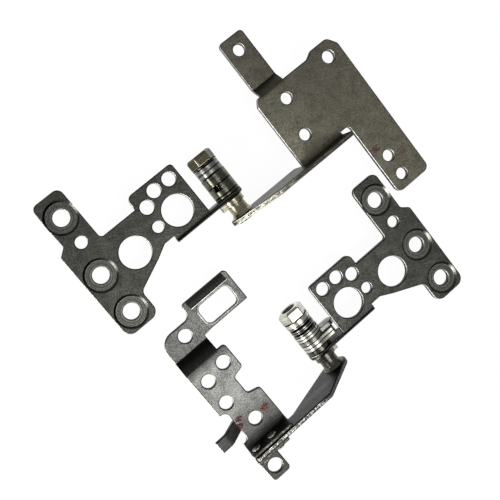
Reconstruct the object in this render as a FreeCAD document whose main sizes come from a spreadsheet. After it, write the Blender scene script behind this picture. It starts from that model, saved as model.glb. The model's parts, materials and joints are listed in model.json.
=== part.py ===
# Pair of friction hinges for a laptop lid, built lying flat with both lids open.
# Each hinge is drawn round its own shaft: Y runs along the shaft, Z is up, and X crosses it.
import FreeCAD
import Part
import Sketcher
import os

doc = FreeCAD.newDocument("LaptopHinges")
sheet = doc.addObject("Spreadsheet::Sheet", "Sizes")

# Driving sizes in millimetres
SIZES = [
    ("left_x", -1.2), ("left_y", 12.0), ("right_x", -6.4), ("right_y", -25.0),
    ("axis_height", 3.0), ("sheet_steel", 1.0), ("thin_steel", 0.8),
    ("bend_outside", 1.1), ("bend_inside", 0.4), ("step_bend", 0.6),
    ("step_lap", 0.7), ("run_gap", 0.03), ("bore_gap", 0.05),
    # Lid plate
    ("lid_rise", 3.0), ("ear_radius", 2.9), ("ear_reach", 14.0), ("ear_tail", 0.6),
    ("stem_edge", 5.5), ("stem_top", 13.1), ("step_edge", 16.7), ("shoulder", 10.3),
    ("bar_inner", 25.1), ("bar_top", 22.6), ("lobe_outer", 31.7), ("lobe_step", 13.2),
    ("bar_outer", 33.4), ("bar_step", 11.9), ("bar_bottom", 8.1), ("toe_inner", 25.7),
    ("slant_low", 2.8), ("slant_lift", 0.1), ("slant_end", 19.2),
    ("relief_edge", 16.4), ("relief_depth", 1.6),
    ("vent_size", 6.4), ("vent_near", 10.3), ("vent_near_y", 5.1), ("vent_far", 21.85), ("vent_far_y", 3.9),
    ("boss_size", 6.85), ("boss_sink", 0.45), ("boss_slope", 45.0),
    ("boss_wall", 0.25), ("boss_hole", 3.3), ("boss_row", 29.7),
    ("boss_top", 28.4), ("boss_top_y", 17.8), ("boss_mid_y", 4.7), ("boss_low_y", 4.4),
    ("bar_hole", 2.4), ("bar_hole_x", 28.5), ("bar_hole_y", 11.9),
    ("peg_hole", 2.8), ("peg_row_y", 10.9), ("peg_first", 7.8), ("peg_second", 11.5),
    ("peg_third", 14.6), ("peg_third_y", 9.25), ("pin_hole", 2.3),
    ("pin_hole_x", 15.3), ("pin_hole_y", 4.95),
    # Shaft and friction stack
    ("neck_length", 3.9), ("neck_radius", 1.9), ("collar_radius", 2.3), ("collar_width", 1.3),
    ("stop_reach", 3.1), ("stop_width", 1.7),
    ("journal_radius", 1.6), ("pin_radius", 1.45), ("pin_flat", 1.2), ("pin_inset", 0.7),
    ("stake_radius", 1.8), ("stake_height", 0.35),
    ("washer_radius", 2.85), ("left_bearing_width", 0.6), ("bearing_width", 1.0),
    ("tab_width", 0.8), ("tab_reach", 4.9), ("tab_height", 5.0), ("tab_round", 0.8),
    ("plate_width", 1.0), ("plate_reach", 5.8), ("plate_height", 3.2),
    ("plate_round", 1.3), ("friction_width", 0.65),
    ("thrust_width", 2.4), ("sleeve_width", 2.2), ("notch_depth", 1.1),
    ("notch_width", 1.3), ("notch_side", 0.8),
    ("flare_radius", 2.5), ("flare_length", 0.9),
    ("spring_radius", 2.75), ("spring_steel", 0.42), ("spring_dish", 0.18),
    ("left_spring_steel", 1.0), ("left_spring_dish", 0.1),
    ("pressure_width", 1.1), ("left_pressure_width", 0.4), ("nut_width", 2.35), ("left_nut_width", 2.2),
    ("nut_flats", 5.1), ("nut_bevel", 0.45),
    # Base plates, flanges and arms
    ("plate_rise", 4.9), ("arm_rise", 9.9), ("eye_radius", 3.0),
    ("eye_slant_x", 2.05), ("eye_slant_z", 2.19),
    # Left bracket
    ("left_edge", 14.6), ("left_arm_edge", 15.2), ("left_arm_drop", 6.8), ("left_flange_end", 25.2),
    ("left_side", 10.8), ("left_top", 12.2), ("left_cut", 1.0),
    ("left_lobe_start", 28.8), ("left_lobe_rise", 13.1),
    ("left_lobe_peak", 30.4), ("left_lobe_end", 34.6), ("left_outer", 36.1), ("left_outer_top", 11.0),
    ("strip_inner", 27.4), ("strip_end", 20.9), ("slot_clear", 0.1),
    ("left_tab_near", 16.4), ("left_tab_far", 22.3),
    ("left_tab_end", 25.05), ("left_tab_drop", 1.75), ("left_tab_run", 1.75),
    ("left_hole", 2.4), ("strip_hole_x", 30.45), ("strip_hole_y", 13.35), ("strip_hole_step", 4.7),
    ("lobe_hole", 2.6), ("lobe_hole_x", 32.7), ("lobe_hole_y", 9.95),
    ("web_hole_x", 20.5), ("web_hole_y", 8.75),
    ("root_hole_x", 19.0), ("root_hole_y", 0.85), ("left_tab_hole_x", 19.3), ("left_tab_hole_y", 21.95),
    # Right bracket
    ("right_edge", 14.8), ("right_outer", 24.65), ("right_top", 16.3),
    ("ear_low_y", 4.9), ("waist_low_y", 5.6),
    ("waist_x", 17.5), ("waist_high_y", 9.8), ("ear_high_y", 10.4), ("flange_low", 0.2),
    ("flange_bend", 0.8),
    ("hook_top", 3.15), ("hook_low", 0.55), ("hook_root", 23.2), ("scallop", 1.25),
    ("hook_bend_x", 25.9), ("hook_end", 28.5), ("hook_rise", 3.0), ("hook_curl", 1.1),
    ("slot_tab_drop", 2.5), ("slot_tab_run", 2.5), ("slot_tab_top", 27.2), ("slot_tab_near", 5.25),
    ("slot_tab_low", 19.7), ("slot_tab_neck", 16.6), ("tab_lobe_top", 24.25),
    ("lip_rise", 2.2), ("lip_lean", 1.35), ("lip_edge", 0.45), ("lip_inset", 1.1),
    ("slot_x", 10.75), ("slot_y", 22.6), ("slot_length", 7.7), ("slot_height", 4.4), ("slot_round", 1.2),
    ("right_hole", 2.8), ("row_hole_x", 21.9), ("row_hole_y", 6.95), ("row_hole_step", 5.6),
    ("side_hole_x", 17.3), ("side_hole_y", 13.55), ("low_hole_x", 19.5), ("low_hole_y", 0.65),
    ("tab_hole_x", 19.7), ("tab_hole_y", 21.95),
    ("right_arm_end", 24.3), ("right_arm_low", 5.2), ("right_arm_drop", 5.3), ("right_arm_elbow", 13.4),
    ("eye_low_x", 1.8), ("eye_low_z", 2.4),
    ("clip_near", 17.0), ("clip_far", 24.7), ("clip_top", 9.4), ("clip_step", 6.5), ("clip_tab_near", 20.3),
    ("clip_tab_end", 12.05), ("clip_hole", 3.0), ("clip_hole_x", 22.5), ("clip_hole_y", 9.45),
    ("rivet_near", 19.2), ("rivet_far", 23.1), ("rivet_level", 8.1), ("rivet_head", 0.95),
    ("rivet_shank", 0.65), ("rivet_cap", 0.35),
    # Rounded corners
    ("round_small", 0.8), ("round_mid", 1.4), ("round_large", 1.9),
]
VALUES = {}
for row, (name, value) in enumerate(SIZES, start=1):
    sheet.set("A%d" % row, name)
    sheet.set("B%d" % row, str(value))
    sheet.setAlias("B%d" % row, name)
    VALUES[name] = value
doc.recompute()


class Size:
    """A length that knows both its number and the sheet expression behind it."""

    def __init__(self, number, text):
        self.number = number
        self.text = text

    def __add__(self, other):
        other = as_size(other)
        return Size(self.number + other.number, "(%s + %s)" % (self.text, other.text))

    def __sub__(self, other):
        other = as_size(other)
        return Size(self.number - other.number, "(%s - %s)" % (self.text, other.text))

    def __mul__(self, factor):
        return Size(self.number * factor, "(%s * %s)" % (self.text, factor))

    def __neg__(self):
        return self * -1


def as_size(thing):
    """Take a size, a sheet name or a plain number."""
    if isinstance(thing, Size):
        return thing
    if isinstance(thing, str):
        return Size(VALUES[thing], "Sizes.%s" % thing)
    return Size(float(thing), "%s" % float(thing))


ZERO = as_size(0)


def bind(thing, prop, size):
    thing.setExpression(prop, as_size(size).text)


class Piece:
    """One body of a hinge, with its sketches set on its own origin planes."""

    def __init__(self, hand, name):
        self.hand = hand
        # The lid lies on -X of the left shaft and on +X of the right shaft
        self.lid = -1 if hand == "left" else 1
        self.name = "%s_%s" % (hand, name)
        self.body = doc.addObject("PartDesign::Body", self.name)
        self.body.Label = self.name
        self.body.Placement = FreeCAD.Placement(
            FreeCAD.Vector(VALUES[hand + "_x"], VALUES[hand + "_y"], VALUES["axis_height"]),
            FreeCAD.Rotation())
        bind(self.body, "Placement.Base.x", hand + "_x")
        bind(self.body, "Placement.Base.y", hand + "_y")
        bind(self.body, "Placement.Base.z", "axis_height")
        self.count = 0

    def out(self, size):
        """A distance from the shaft towards the lid."""
        return as_size(size) * self.lid

    def back(self, size):
        """A distance from the shaft towards the base bracket."""
        return as_size(size) * -self.lid

    def sketch(self, plane, level):
        self.count += 1
        sk = doc.addObject("Sketcher::SketchObject", "%s_sketch_%d" % (self.name, self.count))
        self.body.addObject(sk)
        origin = [o for o in self.body.Origin.OriginFeatures if o.Role == plane][0]
        sk.AttachmentSupport = [(origin, "")]
        sk.MapMode = "FlatFace"
        level = as_size(level)
        sk.AttachmentOffset = FreeCAD.Placement(FreeCAD.Vector(0, 0, level.number), FreeCAD.Rotation())
        bind(sk, "AttachmentOffset.Base.z", level)
        return sk

    def flat(self, z):
        """A sketch seen from above at height z over the shaft."""
        return self.sketch("XY_Plane", z)

    def side(self, y):
        """A sketch across the shaft at y, with X to the right and Z up."""
        return self.sketch("XZ_Plane", -as_size(y))

    def along(self, x):
        """A sketch along the shaft at x, with Y to the right and Z up."""
        return self.sketch("YZ_Plane", x)

    def feature(self, kind, sk, length):
        self.count += 1
        made = doc.addObject("PartDesign::" + kind, "%s_%s_%d" % (self.name, kind.lower(), self.count))
        self.body.addObject(made)
        made.Profile = sk
        if length is None:
            made.Type = 1
        else:
            made.Length = as_size(length).number
            bind(made, "Length", length)
        sk.Visibility = False
        doc.recompute()
        self.body.Tip = made
        return made

    def pad(self, sk, length):
        return self.feature("Pad", sk, length)

    def cut(self, sk, length=None):
        before = self.body.Shape.Volume
        made = self.feature("Pocket", sk, length)
        if self.body.Shape.Volume > before - 1e-6:
            made.Reversed = True
            doc.recompute()
        return made

    def spin(self, sk):
        """Turn a half outline round the shaft line."""
        self.count += 1
        made = doc.addObject("PartDesign::Revolution", "%s_turned_%d" % (self.name, self.count))
        self.body.addObject(made)
        made.Profile = sk
        made.ReferenceAxis = (sk, ["V_Axis"])
        made.Angle = 360
        sk.Visibility = False
        doc.recompute()
        self.body.Tip = made
        return made

    def dress(self, kind, test, size):
        """Round or bevel every edge that the test picks."""
        tip = self.body.Tip
        names = ["Edge%d" % n for n, edge in enumerate(tip.Shape.Edges, start=1) if test(edge)]
        if not names:
            raise RuntimeError("no edge to dress on " + self.name)
        self.count += 1
        made = doc.addObject("PartDesign::" + kind, "%s_%s_%d" % (self.name, kind.lower(), self.count))
        self.body.addObject(made)
        made.Base = (tip, names)
        prop = "Radius" if kind == "Fillet" else "Size"
        setattr(made, prop, as_size(size).number)
        bind(made, prop, size)
        doc.recompute()
        self.body.Tip = made
        return made

    def round_posts(self, spots, size):
        """Round the upright edges that stand at the given outline corners."""
        def test(edge):
            ends = [v.Point for v in edge.Vertexes]
            if len(ends) != 2 or abs(ends[0].x - ends[1].x) > 1e-6 or abs(ends[0].y - ends[1].y) > 1e-6:
                return False
            at = ends[0]
            return any(abs(at.x - x.number) < 1e-4 and abs(at.y - y.number) < 1e-4 for x, y in spots)
        return self.dress("Fillet", test, size)

    def round_cross(self, y, z, size):
        """Round the edges that run across the shaft at the given y and z."""
        y = as_size(y)
        z = as_size(z)

        def test(edge):
            ends = [v.Point for v in edge.Vertexes]
            on_line = all(abs(q.y - y.number) < 1e-4 and abs(q.z - z.number) < 1e-4 for q in ends)
            return len(ends) == 2 and on_line
        return self.dress("Fillet", test, size)

    def round_along(self, x, z, size):
        """Round the edges that run along the shaft at the given x and z."""
        def test(edge):
            ends = [v.Point for v in edge.Vertexes]
            on_line = all(abs(q.x - x.number) < 1e-4 and abs(q.z - z.number) < 1e-4 for q in ends)
            return len(ends) == 2 and on_line
        return self.dress("Fillet", test, size)


def pin_point(sk, geo, pos, x, y):
    """Hold a point of a sketch at x and y from the sketch origin."""
    for kind, size in (("DistanceX", x), ("DistanceY", y)):
        index = sk.addConstraint(Sketcher.Constraint(kind, -1, 1, geo, pos, size.number))
        bind(sk, "Constraints[%d]" % index, size)


def outline(sk, corners):
    """Draw a closed outline of straight edges through the corners."""
    corners = [(as_size(x), as_size(y)) for x, y in corners]
    ends = corners[1:] + corners[:1]
    lines = []
    for start, end in zip(corners, ends):
        lines.append(sk.addGeometry(Part.LineSegment(
            FreeCAD.Vector(start[0].number, start[1].number, 0),
            FreeCAD.Vector(end[0].number, end[1].number, 0)), False))
    for place, line in enumerate(lines):
        following = lines[(place + 1) % len(lines)]
        sk.addConstraint(Sketcher.Constraint("Coincident", line, 2, following, 1))
    for line, corner in zip(lines, corners):
        pin_point(sk, line, 1, corner[0], corner[1])
    return corners


def ring(sk, x, y, across):
    """Draw a circle with its diameter taken from the sheet."""
    x = as_size(x)
    y = as_size(y)
    across = as_size(across)
    geo = sk.addGeometry(Part.Circle(
        FreeCAD.Vector(x.number, y.number, 0), FreeCAD.Vector(0, 0, 1), across.number / 2), False)
    pin_point(sk, geo, 3, x, y)
    index = sk.addConstraint(Sketcher.Constraint("Diameter", geo, across.number))
    bind(sk, "Constraints[%d]" % index, across)


def S(name):
    return as_size(name)


def stepped_strip(p, x, width, start, top, steel, run, drop, end):
    """A strip that leaves the plate level at start, steps down over a run and goes on flat to its end."""
    low = top - drop
    foot = start + run
    sk = p.along(x)
    outline(sk, [
        (start - "step_lap" - steel, top), (start, top), (foot, low), (end, low), (end, low - steel),
        (foot, low - steel), (start, top - steel), (start - "step_lap" - steel, top - steel)])
    p.pad(sk, width)
    outside = S("step_bend") + steel
    p.round_cross(start, top, outside)
    p.round_cross(foot, low - steel, outside)
    p.round_cross(foot, low, "step_bend")
    p.round_cross(start, top - steel, "step_bend")
    return low, foot


# Lid plate: flat sheet with sunk bosses, and an ear bent down along its lower edge
def lid_plate(hand):
    p = Piece(hand, "lid_plate")
    top = S("lid_rise")
    base = top - "sheet_steel"
    sk = p.flat(base)
    c = outline(sk, [
        (p.out("stem_edge"), ZERO), (p.out("stem_edge"), S("stem_top")), (p.out("step_edge"), S("stem_top")),
        (p.out("step_edge"), S("shoulder")), (p.out("bar_inner"), S("shoulder")),
        (p.out("bar_inner"), S("bar_top")),
        (p.out("lobe_outer"), S("bar_top")), (p.out("lobe_outer"), S("lobe_step")),
        (p.out("bar_outer"), S("bar_step")), (p.out("bar_outer"), -S("bar_bottom")),
        (p.out("toe_inner"), -S("bar_bottom")), (p.out("toe_inner"), -S("slant_low")),
        (p.out("slant_end"), S("slant_lift")), (p.out("relief_edge"), S("relief_depth")),
        (p.out("ear_reach"), S("relief_depth")), (p.out("ear_reach"), ZERO)])
    p.pad(sk, "sheet_steel")
    p.round_posts([c[1], c[4], c[7], c[8]], "round_small")
    p.round_posts([c[2], c[5], c[6], c[11], c[12]], "round_mid")
    p.round_posts([c[9], c[10]], "round_large")
    ear = p.side("sheet_steel")
    outline(ear, [
        (ZERO, S("ear_radius")), (p.out("stem_edge"), S("ear_radius")), (p.out("stem_edge"), top),
        (p.out("ear_reach"), top), (p.out("ear_reach"), S("ear_tail")),
        (p.out(S("stem_edge") * 0.6), -S("ear_radius")),
        (ZERO, -S("ear_radius"))])
    p.pad(ear, "sheet_steel")
    lobe = p.side("sheet_steel")
    ring(lobe, 0, 0, S("ear_radius") * 2)
    p.pad(lobe, "sheet_steel")
    bore = p.side(0)
    ring(bore, 0, 0, (S("journal_radius") + "bore_gap") * 2)
    p.cut(bore, "sheet_steel")
    p.round_cross(0, top, "bend_outside")
    p.round_cross("sheet_steel", base, "bend_inside")
    bosses = [("boss_top", S("boss_top_y")), ("boss_row", S("boss_mid_y")), ("boss_row", -S("boss_low_y"))]
    under = p.flat(base - "boss_sink")
    for x, y in bosses:
        ring(under, p.out(x), y, S("boss_size") - S("boss_wall") * 2)
    p.pad(under, S("boss_sink") + "boss_wall")
    sunk = p.flat(top)
    for x, y in bosses:
        ring(sunk, p.out(x), y, "boss_size")
    dimple = p.cut(sunk, "boss_sink")
    dimple.TaperAngle = -VALUES["boss_slope"]
    bind(dimple, "TaperAngle", -S("boss_slope"))
    doc.recompute()
    holes = p.flat(top)
    for x, y in bosses:
        ring(holes, p.out(x), y, "boss_hole")
    ring(holes, p.out("vent_near"), "vent_near_y", "vent_size")
    ring(holes, p.out("vent_far"), "vent_far_y", "vent_size")
    ring(holes, p.out("bar_hole_x"), "bar_hole_y", "bar_hole")
    ring(holes, p.out("peg_first"), "peg_row_y", "peg_hole")
    ring(holes, p.out("peg_second"), "peg_row_y", "peg_hole")
    ring(holes, p.out("peg_third"), "peg_third_y", "peg_hole")
    ring(holes, p.out("pin_hole_x"), "pin_hole_y", "pin_hole")
    p.cut(holes)
    return p


# Left base bracket: plate, stepped tab, and a flange that runs on into the arm
def left_bracket():
    p = Piece("left", "base_bracket")
    arm_in = -S("neck_length")
    arm_out = arm_in - "sheet_steel"
    top = S("plate_rise")
    base = top - "sheet_steel"
    slot_end = arm_in + "bend_inside" + "slot_clear"
    lap = S("left_top") - "step_lap"
    stepped_strip(
        p, p.back("left_tab_near"), S("left_tab_far") - "left_tab_near", S("left_top"), top, S("sheet_steel"),
        S("left_tab_run"), S("left_tab_drop"), S("left_tab_end"))
    ends = [(p.back("left_tab_near"), S("left_tab_end")), (p.back("left_tab_far"), S("left_tab_end"))]
    p.round_posts(ends, "round_small")
    sk = p.flat(base)
    c = outline(sk, [
        (p.back("left_edge"), arm_out), (p.back("left_edge"), S("left_side")),
        (p.back(S("left_edge") + "left_cut"), S("left_top")), (p.back("left_tab_near"), S("left_top")),
        (p.back("left_tab_near"), lap), (p.back("left_tab_far"), lap),
        (p.back("left_tab_far"), S("left_top")),
        (p.back("left_lobe_start"), S("left_top")),
        (p.back("left_lobe_peak"), S("left_lobe_rise")), (p.back("left_lobe_end"), S("left_lobe_rise")),
        (p.back("left_outer"), S("left_outer_top")), (p.back("left_outer"), -S("strip_end")),
        (p.back("strip_inner"), -S("strip_end")), (p.back("strip_inner"), slot_end),
        (p.back("left_flange_end"), slot_end), (p.back("left_flange_end"), arm_out)])
    p.pad(sk, "sheet_steel")
    p.round_posts([c[1], c[7], c[8], c[13]], "round_small")
    p.round_posts([c[9], c[10], c[11], c[12]], "round_mid")
    arm = p.side(arm_in)
    outline(arm, [
        (p.back("left_flange_end"), base), (p.back("left_flange_end"), S("arm_rise")),
        (p.back("left_arm_drop"), S("arm_rise")), (p.out("eye_slant_x"), S("eye_slant_z")),
        (ZERO, -S("eye_radius")), (p.back("left_arm_edge"), -S("eye_radius")),
        (p.back("left_arm_edge"), base)])
    p.pad(arm, "sheet_steel")
    eye = p.side(arm_in)
    ring(eye, 0, 0, S("eye_radius") * 2)
    p.pad(eye, "sheet_steel")
    p.round_cross(arm_in, top, "bend_inside")
    bore = p.side(arm_out)
    ring(bore, 0, 0, S("pin_radius") * 2)
    p.cut(bore, "sheet_steel")
    holes = p.flat(top)
    ring(holes, p.back("strip_hole_x"), -S("strip_hole_y"), "left_hole")
    ring(holes, p.back("strip_hole_x"), -(S("strip_hole_y") + "strip_hole_step"), "left_hole")
    ring(holes, p.back("lobe_hole_x"), "lobe_hole_y", "lobe_hole")
    ring(holes, p.back("web_hole_x"), "web_hole_y", "left_hole")
    ring(holes, p.back("root_hole_x"), "root_hole_y", "left_hole")
    ring(holes, p.back("left_tab_hole_x"), "left_tab_hole_y", "left_hole")
    p.cut(holes)
    return p


# Right base bracket: plate, stepped slot tab with a lip, side hook and riveting flange
def right_bracket():
    p = Piece("right", "base_bracket")
    face = -S("neck_length")
    top = S("plate_rise")
    base = top - "thin_steel"
    bite_top = S("hook_top") + S("scallop") * 2
    bite_low = S("hook_low") - S("scallop") * 2
    step_end = S("right_top") + "slot_tab_run" + "step_lap" + "thin_steel"
    low, foot = stepped_strip(
        p, p.back("right_outer"), S("right_outer") - "slot_tab_neck", S("right_top"), top, S("thin_steel"),
        S("slot_tab_run"), S("slot_tab_drop"), step_end)
    lap = S("right_top") - "step_lap"
    sk = p.flat(base)
    c = outline(sk, [
        (p.back("right_edge"), face), (p.back("right_edge"), S("ear_low_y")),
        (p.back("waist_x"), S("waist_low_y")),
        (p.back("waist_x"), S("waist_high_y")), (p.back("right_edge"), S("ear_high_y")),
        (p.back("right_edge"), S("right_top")), (p.back("slot_tab_neck"), S("right_top")),
        (p.back("slot_tab_neck"), lap), (p.back("right_outer"), lap),
        (p.back("right_outer"), bite_top), (p.back("hook_root"), bite_top),
        (p.back("hook_root"), bite_low), (p.back("right_outer"), bite_low),
        (p.back("right_outer"), face)])
    p.pad(sk, "thin_steel")
    p.round_posts([c[1], c[2], c[3], c[4], c[5]], "round_small")
    p.round_posts([c[10], c[11]], "scallop")
    foot = foot + "step_lap"
    tab = p.flat(low - "thin_steel")
    t = outline(tab, [
        (p.back("right_outer"), foot), (p.back("right_outer"), S("tab_lobe_top")),
        (p.back(S("slot_tab_neck") + "round_large"), S("tab_lobe_top")),
        (p.back("slot_tab_neck"), S("tab_lobe_top")), (p.back("slot_tab_neck"), S("slot_tab_top")),
        (p.back("slot_tab_near"), S("slot_tab_top")), (p.back("slot_tab_near"), S("slot_tab_low")),
        (p.back(S("slot_tab_neck") - "round_large"), S("slot_tab_low")), (p.back("slot_tab_neck"), foot)])
    p.pad(tab, "thin_steel")
    p.round_posts([t[1]], S("round_large") * 1.6)
    p.round_posts([t[3]], "round_mid")
    p.round_posts([t[4], t[5], t[7]], "round_small")
    lip_far = S("slot_tab_neck") - "lip_inset"
    lip_near = S("slot_tab_near") + "lip_inset"
    rim = S("slot_tab_top")
    lip = p.along(p.back(lip_far))
    outline(lip, [
        (rim - "thin_steel", low - "thin_steel"), (rim, low - "thin_steel"), (rim, low),
        (rim - "lip_lean", low + "lip_rise"), (rim - "lip_lean" - "lip_edge", low + "lip_rise"),
        (rim - "thin_steel", low)])
    p.pad(lip, lip_far - lip_near)
    slot = p.flat(low)
    half = S("slot_length") * 0.5
    rise = S("slot_height") * 0.5
    outline(slot, [
        (p.back(S("slot_x") - half), S("slot_y") - rise), (p.back(S("slot_x") - half), S("slot_y") + rise),
        (p.back(S("slot_x") + half), S("slot_y") + rise), (p.back(S("slot_x") + half), S("slot_y") - rise)])
    p.cut(slot, "thin_steel")
    p.round_posts([
        (p.back(S("slot_x") - half), S("slot_y") - rise), (p.back(S("slot_x") - half), S("slot_y") + rise),
        (p.back(S("slot_x") + half), S("slot_y") + rise), (p.back(S("slot_x") + half), S("slot_y") - rise)],
        "slot_round")
    hook = p.side("hook_top")
    crest = top + "hook_rise"
    outline(hook, [
        (p.back(S("hook_root") - "thin_steel"), top), (p.back("hook_root"), top),
        (p.back("hook_bend_x"), crest),
        (p.back("hook_end"), crest), (p.back("hook_end"), crest - "thin_steel"),
        (p.back(S("hook_bend_x") + S("thin_steel") * 0.4), crest - "thin_steel"),
        (p.back(S("hook_root") + S("thin_steel") * 0.4), base),
        (p.back(S("hook_root") - "thin_steel"), base)])
    p.pad(hook, S("hook_top") - "hook_low")
    under = crest - "thin_steel"
    p.round_along(p.back("hook_bend_x"), crest, S("hook_curl") + "thin_steel")
    p.round_along(p.back(S("hook_bend_x") + S("thin_steel") * 0.4), under, "hook_curl")
    flange = p.side(face + "thin_steel")
    outline(flange, [
        (p.back("right_edge"), base), (p.back("right_edge"), S("arm_rise") - "flange_low"),
        (p.back("right_outer"), S("arm_rise") - "flange_low"), (p.back("right_outer"), base)])
    p.pad(flange, "thin_steel")
    p.round_cross(face + "thin_steel", top, "flange_bend")
    p.round_cross(face, base, "bend_outside")
    rivets = p.side(face)
    ring(rivets, p.back("rivet_near"), "rivet_level", S("rivet_shank") * 2)
    ring(rivets, p.back("rivet_far"), "rivet_level", S("rivet_shank") * 2)
    p.cut(rivets, "thin_steel")
    holes = p.flat(top)
    ring(holes, p.back("row_hole_x"), "row_hole_y", "right_hole")
    ring(holes, p.back("row_hole_x"), S("row_hole_y") + "row_hole_step", "right_hole")
    ring(holes, p.back("side_hole_x"), "side_hole_y", "right_hole")
    ring(holes, p.back("low_hole_x"), "low_hole_y", "right_hole")
    ring(holes, p.back("tab_hole_x"), "tab_hole_y", "right_hole")
    p.cut(holes)
    return p


# Right arm: flat lever from the riveting flange down to the shaft
def right_arm():
    p = Piece("right", "hinge_arm")
    face = -S("neck_length")
    sk = p.side(face)
    outline(sk, [
        (p.back("right_arm_end"), S("right_arm_low")), (p.back("right_arm_end"), S("arm_rise")),
        (p.back("right_arm_drop"), S("arm_rise")), (p.out("eye_slant_x"), S("eye_slant_z")),
        (p.back("eye_low_x"), -S("eye_low_z")), (p.back("right_arm_elbow"), S("right_arm_low"))])
    p.pad(sk, "sheet_steel")
    eye = p.side(face)
    ring(eye, 0, 0, S("eye_radius") * 2)
    p.pad(eye, "sheet_steel")
    holes = p.side(face - "sheet_steel")
    ring(holes, 0, 0, S("pin_radius") * 2)
    ring(holes, p.back("rivet_near"), "rivet_level", S("rivet_shank") * 2)
    ring(holes, p.back("rivet_far"), "rivet_level", S("rivet_shank") * 2)
    p.cut(holes, "sheet_steel")
    return p


# Foot clip: angle riveted outside the arm, with a screw tab
def foot_clip():
    p = Piece("right", "foot_clip")
    face = -S("neck_length") - "sheet_steel"
    top = S("plate_rise")
    base = top - "thin_steel"
    wall = p.side(face)
    outline(wall, [
        (p.back("clip_far"), base), (p.back("clip_far"), S("clip_top")), (p.back("clip_near"), S("clip_top")),
        (p.back("clip_near"), S("clip_step")), (p.back("clip_tab_near"), S("clip_step")),
        (p.back("clip_tab_near"), base)])
    p.pad(wall, "thin_steel")
    tab = p.flat(base)
    t = outline(tab, [
        (p.back("clip_far"), face), (p.back("clip_tab_near"), face),
        (p.back("clip_tab_near"), -S("clip_tab_end")),
        (p.back("clip_far"), -S("clip_tab_end"))])
    p.pad(tab, "thin_steel")
    p.round_posts([t[2], t[3]], "round_small")
    p.round_cross(face, base, S("bend_inside") + S("thin_steel") * 0.5)
    p.round_cross(face - "thin_steel", top, "bend_inside")
    hole = p.flat(top)
    ring(hole, p.back("clip_hole_x"), -S("clip_hole_y"), "clip_hole")
    p.cut(hole, "thin_steel")
    rivets = p.side(face - "thin_steel")
    ring(rivets, p.back("rivet_near"), "rivet_level", S("rivet_shank") * 2)
    ring(rivets, p.back("rivet_far"), "rivet_level", S("rivet_shank") * 2)
    p.cut(rivets, "thin_steel")
    return p


def rivet(name, place):
    p = Piece("right", name)
    inner = -S("neck_length") + "thin_steel"
    outer = -S("neck_length") - "sheet_steel" - "thin_steel"
    for start, length, radius in (
            (inner + "rivet_cap", S("rivet_cap"), "rivet_head"),
            (inner, inner - outer, "rivet_shank"),
            (outer, S("rivet_cap"), "rivet_head")):
        sk = p.side(start)
        ring(sk, p.back(place), "rivet_level", S(radius) * 2)
        p.pad(sk, length)
    return p


# Shaft: staked through the arm, with a stop collar and a flatted pin for the friction stack
def shaft(hand, nut_end):
    p = Piece(hand, "shaft")
    arm_in = -S("neck_length")
    arm_out = arm_in - "sheet_steel"
    tail = nut_end - "pin_inset"
    sk = p.flat(0)
    journal_end = S("sheet_steel")
    outline(sk, [
        (ZERO, arm_out - "stake_height"), (S("stake_radius"), arm_out - "stake_height"),
        (S("stake_radius"), arm_out),
        (S("pin_radius"), arm_out), (S("pin_radius"), arm_in), (S("flare_radius"), arm_in),
        (S("neck_radius"), arm_in + "flare_length"),
        (S("neck_radius"), -S("collar_width")), (S("collar_radius"), -S("collar_width")),
        (S("collar_radius"), -S("run_gap")), (S("journal_radius"), -S("run_gap")),
        (S("journal_radius"), journal_end),
        (S("pin_radius"), journal_end), (S("pin_radius"), tail), (ZERO, tail)])
    p.spin(sk)
    stop = p.side(-S("run_gap"))
    half = S("stop_width") * 0.5
    outline(stop, [
        (ZERO, half), (p.out("stop_reach"), half), (p.out("stop_reach"), -half), (ZERO, -half)])
    p.pad(stop, S("collar_width") - "run_gap")
    flats = p.side(journal_end)
    for up in (1, -1):
        outline(flats, [
            (-S("washer_radius"), S("pin_flat") * up), (S("washer_radius"), S("pin_flat") * up),
            (S("washer_radius"), S("washer_radius") * up), (-S("washer_radius"), S("washer_radius") * up)])
    p.cut(flats, tail - journal_end)
    return p


def washer(hand, name, start, width, radius="washer_radius"):
    p = Piece(hand, name)
    sk = p.side(start + width)
    ring(sk, 0, 0, S(radius) * 2)
    ring(sk, 0, 0, (S("pin_radius") + "bore_gap") * 2)
    p.pad(sk, width)
    return p


def thrust_sleeve(start, width):
    """The sleeve that turns with the left lid, with a detent notch in its free end."""
    p = washer("left", "thrust_sleeve", start, width)
    end = start + width
    notch = p.flat("washer_radius")
    outline(notch, [
        (p.out("notch_side"), end), (p.out(S("notch_side") + "notch_width"), end),
        (p.out(S("notch_side") + "notch_width"), end - "notch_depth"),
        (p.out("notch_side"), end - "notch_depth")])
    p.cut(notch, "washer_radius")
    return p


def tab_washer(hand, name, start, width, reach, height, corner_size):
    p = Piece(hand, name)
    sk = p.side(start + width)
    ring(sk, 0, 0, S("washer_radius") * 2)
    p.pad(sk, width)
    tab = p.side(start + width)
    half = S(height) * 0.5
    outline(tab, [(ZERO, half), (p.out(reach), half), (p.out(reach), -half), (ZERO, -half)])
    p.pad(tab, width)
    bore = p.side(start)
    ring(bore, 0, 0, (S("pin_radius") + "bore_gap") * 2)
    p.cut(bore, width)

    def corner(edge):
        ends = [v.Point for v in edge.Vertexes]
        return len(ends) == 2 and all(abs(abs(q.x) - S(reach).number) < 1e-4 for q in ends) \
            and abs(ends[0].y - ends[1].y) > 1e-4
    p.dress("Fillet", corner, corner_size)
    return p


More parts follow.
